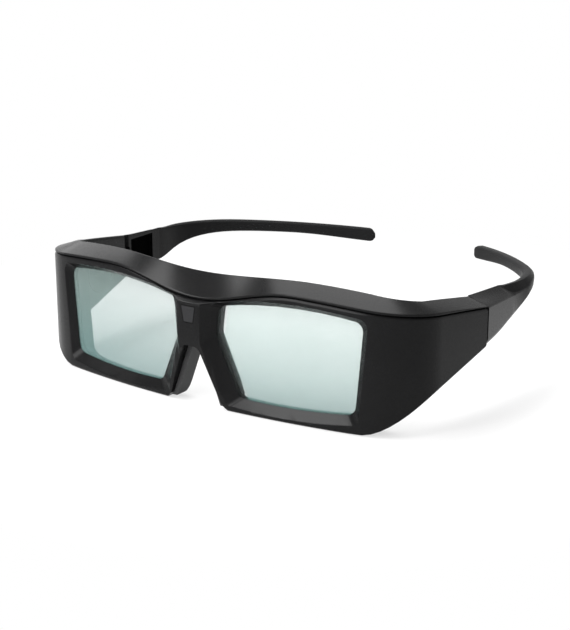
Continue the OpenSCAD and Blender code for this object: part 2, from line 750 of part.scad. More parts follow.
// Hinge block, the room for the turning temple and the web of its knuckle
block_roof = 0.6;
relief_out = 1.35;
relief_gap = 0.5;
web_from = 0.3;
web_lap = 0.6;

// Cylinder along X of the side frame, from x0 to x1
module side_rod(r, x0, x1, y, z) {
  translate([x0, y, z]) rotate([0, 90, 0]) cylinder(r = r, h = x1 - x0);
}

// Many-sided hole along X of the side frame whose flats clear a round piece of radius r
module side_hole(r, x0, x1, y, z) {
  sides = 36;
  wide = r / cos(180 / sides);
  translate([x0, y, z]) rotate([90, 0, 90])
    linear_extrude(x1 - x0)
    polygon([for (i = [0 : sides - 1]) wide * [cos(i * 360 / sides), sin(i * 360 / sides)]]);
}

// Box in the side frame
module side_box(x0, x1, y0, y1, z0, z1) {
  translate([x0, y0, z0]) cube([x1 - x0, y1 - y0, z1 - z0]);
}

// Room that a folding temple needs at the inner corner of a side, cut off on the slant
module fold_relief(front) {
  reach = hinge_in + relief_gap;
  side = front ? 1 : -1;
  start = front ? 0 : seam_gap / 2;
  translate([hinge_x, start, 0]) linear_extrude(deck_crest_z)
    polygon([[relief_out, side], [-reach, side], [-reach, -side * reach]]);
}

// Round room for a turning knuckle
module knuckle_recess(z0, z1) {
  translate([hinge_x, 0, z0]) rotate([0, 0, 45]) cylinder(r = knuckle_r + knuckle_run, h = z1 - z0);
}

module front_shell() {
  color(shell_black) difference() {
    placed() skin(band_sections([for (s = stations) front_profile(abs(s))]));
    for (sgn = [-1, 1]) {
      on_lens(sgn) lens_plate(lens_lip + seat_gap, 0, through);
      on_lens(sgn) bezel_window();
    }
    placed() arch_bar(0, -cut_over, through);
    placed() translate([0, window_t, 0]) rotate([90, 0, 0])
      linear_extrude(window_t + cut_over) polygon(window_outline);
    placed() translate([-receiver_w / 2 - seat_gap, 0, receiver_z - receiver_h / 2 - seat_gap])
      cube([receiver_w + 2 * seat_gap, through, receiver_h + 2 * seat_gap]);
  }
}

module rear_shell() {
  color(shell_black) difference() {
    union() {
      placed() skin(band_sections([for (s = stations) rear_profile(abs(s))]));
      for (sgn = [-1, 1])
        on_lens(sgn) lens_plate(lens_lip, collar_y, collar_y + collar_t);
    }
    for (sgn = [-1, 1]) {
      on_lens(sgn) rear_window();
      on_lens(sgn) lens_plate(lens_lip + seat_gap, 0, gasket_y);
      on_side(sgn) union() {
        fold_relief(true);
        knuckle_recess(hinge_z - knuckle_gap, hinge_z + pin_len + knuckle_gap);
      }
    }
    placed() arch_bar(0, -cut_over, through);
    on_side(1)
      side_rod(button_r + seat_gap, inner_face_x - cut_over, inner_wall_x + cut_over, switch_y, switch_z);
    on_side(-1) {
      side_hole(cover_r + seat_gap, inner_face_x - cut_over, inner_wall_x + cut_over, -cell_back, cell_z);
      side_hole(lug_r + seat_gap, inner_face_x - cut_over, inner_wall_x + cut_over, boss_y, boss_z);
    }
  }
}

module nose_pad() {
  pad_back_y = pad_front_y + pad_len;
  color(pad_black) placed() intersection() {
    difference() {
      arch_bar(-seat_gap, pad_front_y, pad_back_y);
      arch_bar(-seat_gap - pad_t, pad_front_y - cut_over, pad_back_y + cut_over);
    }
    rotate([90, 0, 90]) linear_extrude(2 * foot_half_w, center = true) polygon(rounded_outline([
      [pad_front_y - pad_r, edge_r], [pad_front_y - pad_r, arch_z + pad_r],
      [pad_back_y, arch_z + pad_r], [pad_back_y, edge_r]
    ], pad_r));
  }
}

module ir_window() {
  color(window_black) placed() translate([0, window_t, 0]) rotate([90, 0, 0])
    linear_extrude(window_t) polygon(moved_outline(window_outline, [for (p = window_outline) -window_gap]));
}

module ir_receiver() {
  color(window_black) placed() union() {
    translate([-receiver_w / 2, receiver_y, receiver_z - receiver_h / 2])
      cube([receiver_w, receiver_d, receiver_h]);
    translate([0, receiver_y - dome_proud + dome_t, receiver_z]) rotate([90, 0, 0])
      cylinder(r = receiver_w / 2 - dome_t, h = dome_t);
  }
}

// Thin lead that lies along the inside of the deck's rear wall
lead_end = seam_s - cell_back - holder_r - cut_over;
lead_stations = [for (s = stations) if (abs(s) < lead_end) s];
function lead_profile(s) = let (
    back = depth(s) - rear_wall - seat_gap,
    front = back - lead_t,
    top = roof_z(s, front) - seat_gap
  ) [[-back, top - lead_h], [-front, top - lead_h], [-front, top], [-back, top]];
module flat_lead() {
  color(copper_tan) placed()
    skin([for (s = lead_stations) [for (p = lead_profile(abs(s))) on_band_mid(s, p)]]);
}

module front_polariser(sgn) {
  color(film_grey) on_lens(sgn) lens_plate(lens_lip, 0, polariser_t);
}

module shutter_cell(sgn) {
  color(glass_green) on_lens(sgn) {
    lens_plate(lens_lip, cell_y, cell_y + glass_t);
    intersection() {
      lens_plate(lens_lip, cell_y + glass_t, cell_back_y);
      translate([-lens_w, 0, 0]) cube([2 * lens_w, through, lens_top + lens_lip - ledge_h]);
    }
  }
}

module rear_polariser(sgn) {
  color(film_grey) on_lens(sgn) lens_plate(rear_window_grow + rear_film_lap, cell_back_y, stack_y);
}

module lens_gasket(sgn) {
  color(foam_black) on_lens(sgn) difference() {
    lens_plate(lens_lip, stack_y, gasket_y);
    lens_plate(rear_window_grow, stack_y - cut_over, gasket_y + cut_over);
  }
}

module main_board() {
  color(board_green) on_side(1)
    side_box(board_x - board_t, board_x, -board_back - board_len, -board_back, board_z, board_z + board_h);
}

module controller_chip() {
  y = -board_back - board_len + chip_edge;
  z = board_z + board_h / 2 - chip_w / 2;
  color(window_black) on_side(1) side_box(switch_x - chip_t, switch_x, y, y + chip_w, z, z + chip_w);
}

module power_switch() {
  color(steel) on_side(1) {
    side_box(switch_x - switch_h, switch_x, switch_y - switch_w / 2, switch_y + switch_w / 2,
      switch_z - switch_w / 2, switch_z + switch_w / 2);
    side_rod(plunger_r, switch_x - switch_h - plunger_t, switch_x - switch_h, switch_y, switch_z);
  }
}

module power_button() {
  stem_x = switch_x - switch_h - plunger_t - button_gap;
  flange_x = inner_wall_x + press_gap;
  color(pad_black) on_side(1) {
    side_rod(button_r, inner_face_x - button_proud, flange_x + flange_t, switch_y, switch_z);
    side_rod(button_r + flange_lap, flange_x, flange_x + flange_t, switch_y, switch_z);
    side_rod(plunger_r, flange_x, stem_x, switch_y, switch_z);
  }
}

module cell_holder() {
  color(pad_black) on_side(-1) difference() {
    union() {
      side_rod(holder_r, inner_wall_x + seat_gap, holder_x, -cell_back, cell_z);
      side_rod(boss_r, inner_wall_x + seat_gap, holder_x, boss_y, boss_z);
    }
    side_rod(cover_r, inner_wall_x - cut_over, holder_x - holder_floor_t, -cell_back, cell_z);
    side_rod(screw_r, inner_wall_x - cut_over, inner_wall_x + screw_len, boss_y, boss_z);
  }
}

module coin_cell() {
  rim_r = cell_d / 2;
  color(steel) on_side(-1) {
    side_rod(rim_r, cell_x - cell_t, cell_x - cell_step, -cell_back, cell_z);
    side_rod(rim_r - cell_rim, cell_x - cell_step, cell_x, -cell_back, cell_z);
  }
}

module minus_contact() {
  floor_x = holder_x - holder_floor_t;
  color(copper_tan) on_side(-1) {
    side_rod(cell_d / 4, floor_x - contact_t, floor_x, -cell_back, cell_z);
    side_rod(cell_d / 10, cell_x, floor_x, -cell_back, cell_z);
  }
}

module plus_contact() {
  color(copper_tan) on_side(-1) difference() {
    side_rod(cell_d / 2 - cell_step, cell_x - cell_t - contact_t, cell_x - cell_t, -cell_back, cell_z);
    side_rod(cell_d / 4, cell_x - cell_t - cut_over, cell_x, -cell_back, cell_z);
  }
}

module battery_cover() {
  color(pad_black) on_side(-1) difference() {
    union() {
      side_rod(cover_r, inner_face_x, inner_wall_x, -cell_back, cell_z);
      side_rod(lug_r, inner_face_x, inner_wall_x, boss_y, boss_z);
    }
    side_box(inner_face_x - cut_over, inner_face_x + slot_d,
      -cell_back - cover_r / 2, -cell_back + cover_r / 2,
      cell_z - cover_slot_w / 2, cell_z + cover_slot_w / 2);
    side_rod(screw_r + screw_run, inner_face_x - cut_over, inner_wall_x + cut_over, boss_y, boss_z);
    side_rod(screw_head_r + screw_run, inner_face_x - cut_over, inner_face_x + head_sink + head_t,
      boss_y, boss_z);
  }
}

module cover_screw() {
  head_x = inner_face_x + head_sink;
  color(steel) on_side(-1) difference() {
    union() {
      side_rod(screw_head_r, head_x, head_x + head_t, boss_y, boss_z);
      side_rod(screw_r - fixed_fit, head_x + head_t, inner_wall_x + screw_len - thread_spare, boss_y, boss_z);
    }
    side_box(head_x - cut_over, head_x + screw_slot_w, boss_y - 2 * screw_head_r, boss_y + 2 * screw_head_r,
      boss_z - screw_slot_w / 2, boss_z + screw_slot_w / 2);
  }
}

// Block that plugs the end of a side and carries the two outer knuckles
module hinge_block(sgn) {
  plug_x0 = inner_wall_x + seat_gap;
  plug_x1 = outer_wall_x - seat_gap;
  top_z = parting_seam_z - rear_wall - block_roof;
  color(pad_black) on_side(sgn) difference() {
    union() {
      side_box(plug_x0, plug_x1, -block_len, -seam_gap / 2, hinge_z, top_z);
      for (z = [hinge_z, mid_z + knuckle_h + knuckle_gap])
        translate([hinge_x, 0, z]) cylinder(r = knuckle_r, h = knuckle_h);
    }
    knuckle_recess(mid_z - knuckle_gap, mid_z + knuckle_h + knuckle_gap);
    translate([hinge_x, 0, hinge_z - cut_over]) cylinder(r = pin_r + fixed_fit, h = pin_len + 2 * cut_over);
  }
}

module hinge_pin(sgn) {
  color(steel) on_side(sgn) translate([hinge_x, 0, hinge_z]) cylinder(r = pin_r, h = pin_len);
}

module temple(sgn) {
  pocket_at = arm_outer(pocket_back);
  pocket_h = deck_seam_z - pocket_roof - rim_seam_z - pocket_floor;
  web_end = knuckle_r + knuckle_run + web_lap;
  color(shell_black) difference() {
    union() {
      difference() {
        placed() mirror([sgn < 0 ? 1 : 0, 0, 0]) skin(temple_sections);
        on_side(sgn) knuckle_recess(hinge_z - knuckle_run, hinge_z + pin_len + knuckle_run);
        on_side(sgn) fold_relief(false);
        placed() mirror([sgn < 0 ? 1 : 0, 0, 0])
          translate([pocket_at[0], pocket_at[1], 0]) rotate([0, 0, root_heading])
          translate([-depth_side - cut_over, 0, rim_seam_z + pocket_floor])
          cube([pocket_depth + cut_over, pocket_len, pocket_h]);
      }
      on_side(sgn) translate([hinge_x, 0, mid_z]) cylinder(r = knuckle_r, h = knuckle_h);
      on_side(sgn) side_box(hinge_x + 0.1 * knuckle_r, hinge_x + 0.8 * knuckle_r, web_from, web_end,
        mid_z, mid_z + knuckle_h);
    }
    on_side(sgn) translate([hinge_x, 0, mid_z - cut_over])
      cylinder(r = pin_r + pin_run, h = knuckle_h + 2 * cut_over);
  }
}

front_shell();
rear_shell();
nose_pad();
ir_window();
ir_receiver();
flat_lead();
front_polariser(1);  // left_front_polariser
shutter_cell(1);  // left_shutter_cell
rear_polariser(1);  // left_rear_polariser
lens_gasket(1);  // left_lens_gasket
front_polariser(-1);  // right_front_polariser
shutter_cell(-1);  // right_shutter_cell
rear_polariser(-1);  // right_rear_polariser
lens_gasket(-1);  // right_lens_gasket
main_board();
controller_chip();
power_switch();
power_button();
cell_holder();
coin_cell();
minus_contact();
plus_contact();
battery_cover();
cover_screw();
hinge_block(1);  // left_hinge_block
hinge_block(-1);  // right_hinge_block
hinge_pin(1);  // left_hinge_pin
hinge_pin(-1);  // right_hinge_pin
temple(1);  // left_temple
temple(-1);  // right_temple
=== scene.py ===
"""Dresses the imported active-shutter 3D glasses and sets up the studio they are seen in."""

import logging
import math
from dataclasses import dataclass, field
from enum import Enum
from functools import cache
from typing import Any, Optional, Protocol, Union

import bmesh
import bpy
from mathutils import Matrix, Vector


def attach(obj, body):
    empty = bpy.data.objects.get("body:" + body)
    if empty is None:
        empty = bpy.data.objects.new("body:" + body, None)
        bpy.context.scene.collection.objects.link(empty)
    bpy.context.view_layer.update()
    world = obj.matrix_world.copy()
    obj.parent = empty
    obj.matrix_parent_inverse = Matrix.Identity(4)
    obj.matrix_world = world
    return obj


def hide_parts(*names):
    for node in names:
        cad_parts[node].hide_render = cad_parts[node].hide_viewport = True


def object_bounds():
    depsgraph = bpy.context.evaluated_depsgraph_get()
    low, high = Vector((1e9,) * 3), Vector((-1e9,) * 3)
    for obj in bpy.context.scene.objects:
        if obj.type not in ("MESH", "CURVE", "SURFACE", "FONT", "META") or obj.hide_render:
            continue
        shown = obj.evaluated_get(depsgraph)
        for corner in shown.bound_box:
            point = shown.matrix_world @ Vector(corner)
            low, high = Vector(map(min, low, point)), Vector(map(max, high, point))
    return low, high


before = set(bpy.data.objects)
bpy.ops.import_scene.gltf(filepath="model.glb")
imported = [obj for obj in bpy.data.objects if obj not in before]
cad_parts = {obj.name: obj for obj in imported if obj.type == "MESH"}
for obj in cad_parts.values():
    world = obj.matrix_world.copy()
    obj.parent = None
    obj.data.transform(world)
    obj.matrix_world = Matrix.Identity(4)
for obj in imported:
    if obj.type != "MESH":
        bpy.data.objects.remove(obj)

LOG = logging.getLogger("glasses")
CAD_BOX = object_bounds()
MM = 0.001
NOISE_MIDDLE = 0.5

Colour = tuple[float, float, float]
Place = tuple[float, float, float]
Span = tuple[float, float]
Socket = bpy.types.NodeSocket


class Side(Enum):
    """The wearer's two sides."""

    LEFT = "left"
    RIGHT = "right"


class Expr:
    """A shader value that takes part in ordinary arithmetic."""

    def __init__(self, bench: "Bench", socket: Socket) -> None:
        """Wraps one output socket.

        Args:
            bench: the maker of nodes that the socket belongs to.
            socket: the output that carries the value.
        """
        self.bench = bench
        self.socket = socket

    def _maths(self, operation: str, *terms: "Value") -> "Expr":
        """Adds one Math node.

        Args:
            operation: the Math node's operation.
            terms: its inputs in order.

        Returns:
            The node's result.
        """
        node = self.bench.make("ShaderNodeMath", {"operation": operation}, dict(enumerate(terms)))
        return Expr(self.bench, node.outputs[0])

    def __add__(self, other: "Value") -> "Expr":
        """self + other."""
        return self._maths("ADD", self, other)

    def __radd__(self, other: "Value") -> "Expr":
        """other + self."""
        return self._maths("ADD", other, self)

    def __sub__(self, other: "Value") -> "Expr":
        """self - other."""
        return self._maths("SUBTRACT", self, other)

    def __rsub__(self, other: "Value") -> "Expr":
        """other - self."""
        return self._maths("SUBTRACT", other, self)

    def __mul__(self, other: "Value") -> "Expr":
        """self * other."""
        return self._maths("MULTIPLY", self, other)

    def __rmul__(self, other: "Value") -> "Expr":
        """other * self."""
        return self._maths("MULTIPLY", other, self)

    def __truediv__(self, other: "Value") -> "Expr":
        """self / other."""
        return self._maths("DIVIDE", self, other)

    def __abs__(self) -> "Expr":
        """The size of the value."""
        return self._maths("ABSOLUTE", self)

    def clamped(self) -> "Expr":
        """The value kept between 0 and 1."""
        node = self.bench.make("ShaderNodeClamp", {}, {"Value": self})
        return Expr(self.bench, node.outputs[0])


Value = Union[float, Expr]


class Bench:
    """Makes the nodes of one material or world."""

    def __init__(self, tree: bpy.types.NodeTree) -> None:
        """Starts on an empty tree.

        Args:
            tree: the node tree to fill.
        """
        self.tree = tree
        tree.nodes.clear()

    def make(self, kind: str, settings: dict[str, Any], sockets: dict[Any, Any]) -> bpy.types.Node:
        """Adds a node, sets it up and feeds its sockets.

        Args:
            kind: the node's type.
            settings: properties of the node, set first.
            sockets: values or links by input name or number.

        Returns:
            The new node.
        """
        node = self.tree.nodes.new(kind)
        for name, value in settings.items():
            setattr(node, name, value)
        for key, value in sockets.items():
            source = value.socket if isinstance(value, Expr) else value
            if isinstance(source, Socket):
                self.tree.links.new(source, node.inputs[key])
            else:
                node.inputs[key].default_value = source
        return node

    def value(self, node: bpy.types.Node, output: Any = 0) -> Expr:
        """One output of a node as a value."""
        return Expr(self, node.outputs[output])

    def place(self) -> Socket:
        """The point on the piece, in metres."""
        return self.make("ShaderNodeTexCoord", {}, {}).outputs["Object"]

    def _along(self, axis: str) -> Expr:
        """One coordinate of the point, in metres."""
        return self.value(self.make("ShaderNodeSeparateXYZ", {}, {"Vector": self.place()}), axis)

    def height(self) -> Expr:
        """The point's height above the table, in metres; in the world, the rise of the ray."""
        return self._along("Z")

    def back(self) -> Expr:
        """The point's distance behind the middle of the depth, in metres."""
        return self._along("Y")

    def aside(self) -> Expr:
        """The point's distance from the middle of the width, in metres."""
        return abs(self._along("X"))

    def within(self, value: Expr, span: Span, edge: float) -> Expr:
        """1 between two limits and 0 outside them.

        Args:
            value: what is compared.
            span: the lower and the upper limit.
            edge: how far inside a limit the full share is reached.

        Returns:
            The share.
        """
        low, high = span
        return ((value - low) / edge).clamped() * ((high - value) / edge).clamped()

    def noise(self, scale: float, detail: float = 2.0) -> Expr:
        """Smooth noise over the piece.

        Args:
            scale: features per metre.
            detail: how many finer layers are added.

        Returns:
            The noise, about NOISE_MIDDLE on average.
        """
        sockets = {"Vector": self.place(), "Scale": scale, "Detail": detail}
        return self.value(self.make("ShaderNodeTexNoise", {"noise_dimensions": "3D"}, sockets))

    def blend(self, share: Value, low: Any, high: Any) -> Socket:
        """Mixes two colours.

        Args:
            share: how much of the second colour shows.
            low: the first colour or a link to one.
            high: the second colour or a link to one.

        Returns:
            The mixed colour.
        """
        # The Mix node's colours are its inputs 6 and 7 and its output 2.
        ends = [(*c, 1.0) if isinstance(c, tuple) else c for c in (low, high)]
        node = self.make("ShaderNodeMix", {"data_type": "RGBA"}, {0: share, 6: ends[0], 7: ends[1]})
        return node.outputs[2]

    def bump(self, height: Expr, depth: float, strength: float) -> Socket:
        """Turns a height into a normal.

        Args:
            height: the relief, 0 to 1.
            depth: how deep the full relief is, in metres.
            strength: how much of it shows.

        Returns:
            The normal.
        """
        sockets = {"Height": height, "Distance": depth, "Strength": strength}
        return self.make("ShaderNodeBump", {}, sockets).outputs[0]

    def principled(self, sockets: dict[str, Any]) -> Socket:
        """A Principled surface with the given inputs."""
        return self.make("ShaderNodeBsdfPrincipled", {}, sockets).outputs[0]

    def mix(self, share: Value, first: Socket, second: Socket) -> Socket:
        """Mixes two shaders.

        Args:
            share: how much of the second one shows.
            first: the first shader.
            second: the second shader.

        Returns:
            The mixed shader.
        """
        return self.make("ShaderNodeMixShader", {}, {0: share, 1: first, 2: second}).outputs[0]


class Finish(Protocol):
    """Anything that can dress a piece."""

    name: str

    def shade(self, bench: Bench) -> Socket:
        """Adds the finish's nodes and gives its shader."""


@cache
def material_of(finish: Finish) -> bpy.types.Material:
    """Makes a finish's material once.

    Args:
        finish: the finish.

    Returns:
        Its material.
    """
    material = bpy.data.materials.new(finish.name)
    material.use_nodes = True
    bench = Bench(material.node_tree)
    bench.make("ShaderNodeOutputMaterial", {}, {"Surface": finish.shade(bench)})
    return material


@dataclass(frozen=True)
class Moulded:
    """Moulded plastic or rubber with a fine spark-eroded grain and faint handling marks."""

    name: str
    dark: Colour
    light: Colour
    roughness: float
    roughness_spread: float = 0.10
    grain_per_m: float = 5200.0
    grain_depth: float = 0.012 * MM
    grain_strength: float = 0.30
    grains_per_speckle: float = 3.0
    cloud_per_m: float = 55.0
    cloud_layers: float = 3.0
    cloud_share: float = 0.6
    ior: float = 1.21

    def _speckle(self, bench: Bench) -> Expr:
        """Spots of a few grains each."""
        return bench.noise(self.grain_per_m / self.grains_per_speckle, 1.0)

    def shade(self, bench: Bench) -> Socket:
        """Adds the plastic's nodes.

        Args:
            bench: the maker of nodes.

        Returns:
            The plastic's shader.
        """
        cloud = bench.noise(self.cloud_per_m, self.cloud_layers)
        grain = bench.noise(self.grain_per_m, 1.0)
        mottle = (self.cloud_share * cloud + (1.0 - self.cloud_share) * self._speckle(bench)).clamped()
        rough = self.roughness + (cloud - NOISE_MIDDLE) * self.roughness_spread
        rough = rough + (grain - NOISE_MIDDLE) * self.roughness_spread
        return bench.principled({
            "Base Color": bench.blend(mottle, self.dark, self.light),
            "Roughness": rough.clamped(),
            "IOR": self.ior,
            "Normal": bench.bump(grain, self.grain_depth, self.grain_strength),
        })


@dataclass(frozen=True)
class Tipped(Moulded):
    """Moulded plastic of a temple: satin at its root, with its own finish at the tip and painted shade in the
    pocket.
    """

    tip: Moulded = field(kw_only=True)
    pocket_shade: Moulded = field(kw_only=True)
    satin_y: float = -2.0 * MM
    matt_y: float = 15.0 * MM
    pocket_x: Span = (78.0 * MM, 83.3 * MM)
    pocket_y: Span = (-22.7 * MM, -8.3 * MM)
    pocket_z: Span = (26.8 * MM, 38.45 * MM)
    pocket_edge: float = 0.2 * MM

    def shade(self, bench: Bench) -> Socket:
        """Adds the nodes of the root, the tip and the painted shade in the pocket.

        Args:
            bench: the maker of nodes.

        Returns:
            The mix of the three shaders.
        """
        back = bench.back()
        towards_tip = ((back - self.satin_y) / (self.matt_y - self.satin_y)).clamped()
        arm = bench.mix(towards_tip, super().shade(bench), self.tip.shade(bench))
        # Painted shade: inside the pocket the temple turns near black, where shade falls in the recess.
        pocket = bench.within(back, self.pocket_y, self.pocket_edge)
        pocket = pocket * bench.within(bench.height(), self.pocket_z, self.pocket_edge)
        pocket = pocket * bench.within(bench.aside(), self.pocket_x, self.pocket_edge)
        return bench.mix(pocket, arm, self.pocket_shade.shade(bench))


@dataclass(frozen=True)
class Framed(Moulded):
    """Moulded plastic of the infrared window, with painted shade along its four edges."""

    edge_shade: Colour = (0.001, 0.001, 0.001)
    span_z: Span = (32.18 * MM, 38.42 * MM)
    low_half_w: float = 2.12 * MM
    spread: float = 0.172
    line: float = 0.34 * MM

    def shade(self, bench: Bench) -> Socket:
        """Adds the window's nodes.

        Args:
            bench: the maker of nodes.

        Returns:
            The window's shader.
        """
        high = bench.height()
        half_w = self.low_half_w + (high - self.span_z[0]) * self.spread
        # Painted shade: the window turns near black and matt along its four edges, where the seam around it
        # lies in shade.
        inside = ((half_w - bench.aside()) / self.line).clamped() * bench.within(high, self.span_z, self.line)
        inside = inside * inside
        body = bench.blend(self._speckle(bench), self.dark, self.light)
        return bench.principled({
            "Base Color": bench.blend(inside, self.edge_shade, body),
            "Roughness": 1.0 - inside * (1.0 - self.roughness),
            "IOR": self.ior,
        })


@dataclass(frozen=True)
class Hazy:
    """A see-through film or sheet: part haze, part clear, paler towards its top."""

    name: str
    low: Colour
    high: Colour
    low_alpha: float
    high_alpha: float
    roughness: float
    low_z: float = 4.0 * MM
    high_z: float = 36.0 * MM
    drift_per_m: float = 30.0
    drift: float = 0.16
    ior: float = 1.45

    def _haze(self, bench: Bench) -> tuple[Socket, Expr]:
        """Adds the haze's nodes, whose values drift a little on their way up.

        Args:
            bench: the maker of nodes.

        Returns:
            The haze's colour and alpha.
        """
        rise = (bench.height() - self.low_z) / (self.high_z - self.low_z)
        rise = (rise + (bench.noise(self.drift_per_m, 1.0) - NOISE_MIDDLE) * self.drift).clamped()
        alpha = self.low_alpha + rise * (self.high_alpha - self.low_alpha)
        return bench.blend(rise, self.low, self.high), alpha

    def _sheet(self, bench: Bench, colour: Socket, alpha: Expr) -> Socket:
        """The sheet's surface with a colour and an alpha."""
        return bench.principled({
            "Base Color": colour, "Roughness": self.roughness, "IOR": self.ior, "Alpha": alpha})

    def shade(self, bench: Bench) -> Socket:
        """Adds the film's nodes and gives its shader."""
        return self._sheet(bench, *self._haze(bench))


@dataclass(frozen=True)
class ShutterFilm(Hazy):
    """A lens's front film that is hazy, with painted shade in a strip beside the nose, where the nose-side
    wall shades the film: there the haze gives way to a clear, dark film.

    The strip leans outwards by lean_under below nose_z and by lean_over above it.
    """

    # Painted shade: the dark colour and low alpha of the strip beside the nose.
    clear: Colour = (0.03, 0.035, 0.034)
    nose_shade_alpha: float = 0.16
    nose_x: float = 8.5 * MM
    nose_z: float = 28.1 * MM
    lean_under: float = 0.412
    lean_over: float = 0.124
    nose_shade_w: float = 2.9 * MM
    fade: float = 1.2 * MM

    def shade(self, bench: Bench) -> Socket:
        """Adds the nodes of the haze and of the strip of painted shade.

        Args:
            bench: the maker of nodes.

        Returns:
            The film's shader.
        """
        haze, haze_alpha = self._haze(bench)
        fall = self.nose_z - bench.height()
        tilt = (self.lean_under - self.lean_over) / 2
        bend = (self.lean_under + self.lean_over) / 2
        lean = tilt * fall + bend * abs(fall)
        # Painted shade: the share of haze falls to 0 in the strip beside the nose, where the wall shades the
        # film.
        hazy = ((bench.aside() - self.nose_x - lean - self.nose_shade_w) / self.fade + 0.5).clamped()
        alpha = self.nose_shade_alpha + hazy * (haze_alpha - self.nose_shade_alpha)
        return self._sheet(bench, bench.blend(hazy, self.clear, haze), alpha)


@dataclass(frozen=True)
class Metal:
    """Turned or stamped metal with fine tool lines."""

    name: str
    dark: Colour
    light: Colour
    roughness: float
    roughness_spread: float = 0.12
    line_per_m: float = 2600.0
    line_depth: float = 0.004 * MM
    line_strength: float = 0.3
    cloud_per_m: float = 200.0

    def shade(self, bench: Bench) -> Socket:
        """Adds the metal's nodes.

        Args:
            bench: the maker of nodes.

        Returns:
            The metal's shader.
        """
        lines = bench.noise(self.line_per_m)
        return bench.principled({
            "Base Color": bench.blend(bench.noise(self.cloud_per_m), self.dark, self.light),
            "Metallic": 1.0,
            "Roughness": self.roughness + lines * self.roughness_spread,
            "Normal": bench.bump(lines, self.line_depth, self.line_strength),
        })


@dataclass(frozen=True)
class Tracked:
    """A circuit carrier: a coloured sheet with paler copper tracks showing through."""

    name: str
    ground: Colour
    track: Colour
    track_per_m: float
    roughness: float
    roughness_spread: float = 0.1
    wander: float = 1.5
    contrast: float = 1.4
    threshold: float = 0.3
    track_depth: float = 0.02 * MM
    track_strength: float = 0.4

    def shade(self, bench: Bench) -> Socket:
        """Adds the carrier's nodes.

        Args:
            bench: the maker of nodes.

        Returns:
            The carrier's shader.
        """
        sockets = {"Vector": bench.place(), "Scale": self.track_per_m, "Distortion": self.wander}
        # Output 1 is how strong the wave is; output 0 is a colour.
        tracks = bench.value(bench.make("ShaderNodeTexWave", {"bands_direction": "Z"}, sockets), 1)
        shown = (tracks * self.contrast - self.threshold).clamped()
        return bench.principled({
            "Base Color": bench.blend(shown, self.ground, self.track),
            "Roughness": self.roughness + tracks * self.roughness_spread,
            "Normal": bench.bump(tracks, self.track_depth, self.track_strength),
        })


SATIN_BLACK = Moulded("satin_black", (0.0040, 0.0040, 0.0042), (0.0080, 0.0080, 0.0083), 0.26)
MATT_BLACK = Moulded("matt_black", (0.0030, 0.0030, 0.0031), (0.0060, 0.0060, 0.0062), 0.48, ior=1.12)
DARK_GREY = Moulded("dark_grey", (0.014, 0.014, 0.0145), (0.024, 0.024, 0.0245), 0.44)
SOFT_RUBBER = Moulded("soft_rubber", (0.034, 0.034, 0.0345), (0.050, 0.050, 0.0505), 0.50, grain_strength=0.5)
IR_BLACK = Framed("ir_black", (0.017, 0.017, 0.0182), (0.025, 0.025, 0.0266), 0.30)
# Painted shade: near black for the inside of a temple's pocket.
POCKET_SHADE_BLACK = Moulded("pocket_shade_black", (0.0008, 0.0008, 0.0008), (0.0016, 0.0016, 0.0016), 0.9, ior=1.05)
TIP_BLACK = Moulded("tip_black", (0.0120, 0.0120, 0.0123), (0.0180, 0.0180, 0.0184), 0.30, ior=1.05)
TEMPLE_BLACK = Tipped("temple_black", SATIN_BLACK.dark, SATIN_BLACK.light, SATIN_BLACK.roughness,
                      tip=TIP_BLACK, pocket_shade=POCKET_SHADE_BLACK)
EPOXY_BLACK = Moulded("epoxy_black", (0.010, 0.010, 0.011), (0.018, 0.018, 0.019), 0.50)
FOAM_BLACK = Moulded("foam_black", (0.004, 0.004, 0.004), (0.010, 0.010, 0.010), 0.85, grain_per_m=2600.0,
                     grain_depth=0.06 * MM, grain_strength=0.7)
FRONT_FILMS = {
    Side.LEFT: ShutterFilm(
        "left_front_film", (0.128, 0.236, 0.224), (0.300, 0.418, 0.388), 0.465, 0.315, 0.16),
    # Painted shade: the right film's haze is darker than the left one's, to offset the front lamps lighting
    # it more.
    Side.RIGHT: Hazy(
        "right_front_film", (0.128, 0.230, 0.221), (0.220, 0.293, 0.277), 0.475, 0.345, 0.16),
}
REAR_FILM = Hazy("rear_film", (0.30, 0.40, 0.38), (0.55, 0.66, 0.63), 0.06, 0.03, 0.16)
CELL_GLASS = Hazy("cell_glass", (0.40, 0.55, 0.52), (0.60, 0.72, 0.69), 0.06, 0.03, 0.05)
BRIGHT_STEEL = Metal("bright_steel", (0.52, 0.52, 0.53), (0.66, 0.66, 0.67), 0.26)
SPRING_BRONZE = Metal("spring_bronze", (0.62, 0.44, 0.20), (0.76, 0.58, 0.30), 0.28)
AMBER_LEAD = Tracked("amber_lead", (0.30, 0.13, 0.02), (0.60, 0.32, 0.10), 700.0, 0.30)
SOLDER_MASK = Tracked("solder_mask", (0.010, 0.085, 0.032), (0.03, 0.17, 0.07), 420.0, 0.34)


@dataclass(frozen=True)
class LensPlane:
    """The plane of the lens fronts, which turns with the wrap on both sides."""

    middle_x: float = 37.6 * MM
    behind_bridge: float = 9.3 * MM
    wrap_deg: float = 7.0
    near: float = 0.1 * MM

    def holds(self, edge: bmesh.types.BMEdge) -> bool:
        """Whether an edge lies in the plane.

        Args:
            edge: the edge.

        Returns:
            True if both of its ends do.
        """
        slope = math.tan(math.radians(self.wrap_deg))
        front = CAD_BOX[0].y + self.behind_bridge
        depths = (v.co.y - front - (abs(v.co.x) - self.middle_x) * slope for v in edge.verts)
        return all(abs(depth) < self.near for depth in depths)


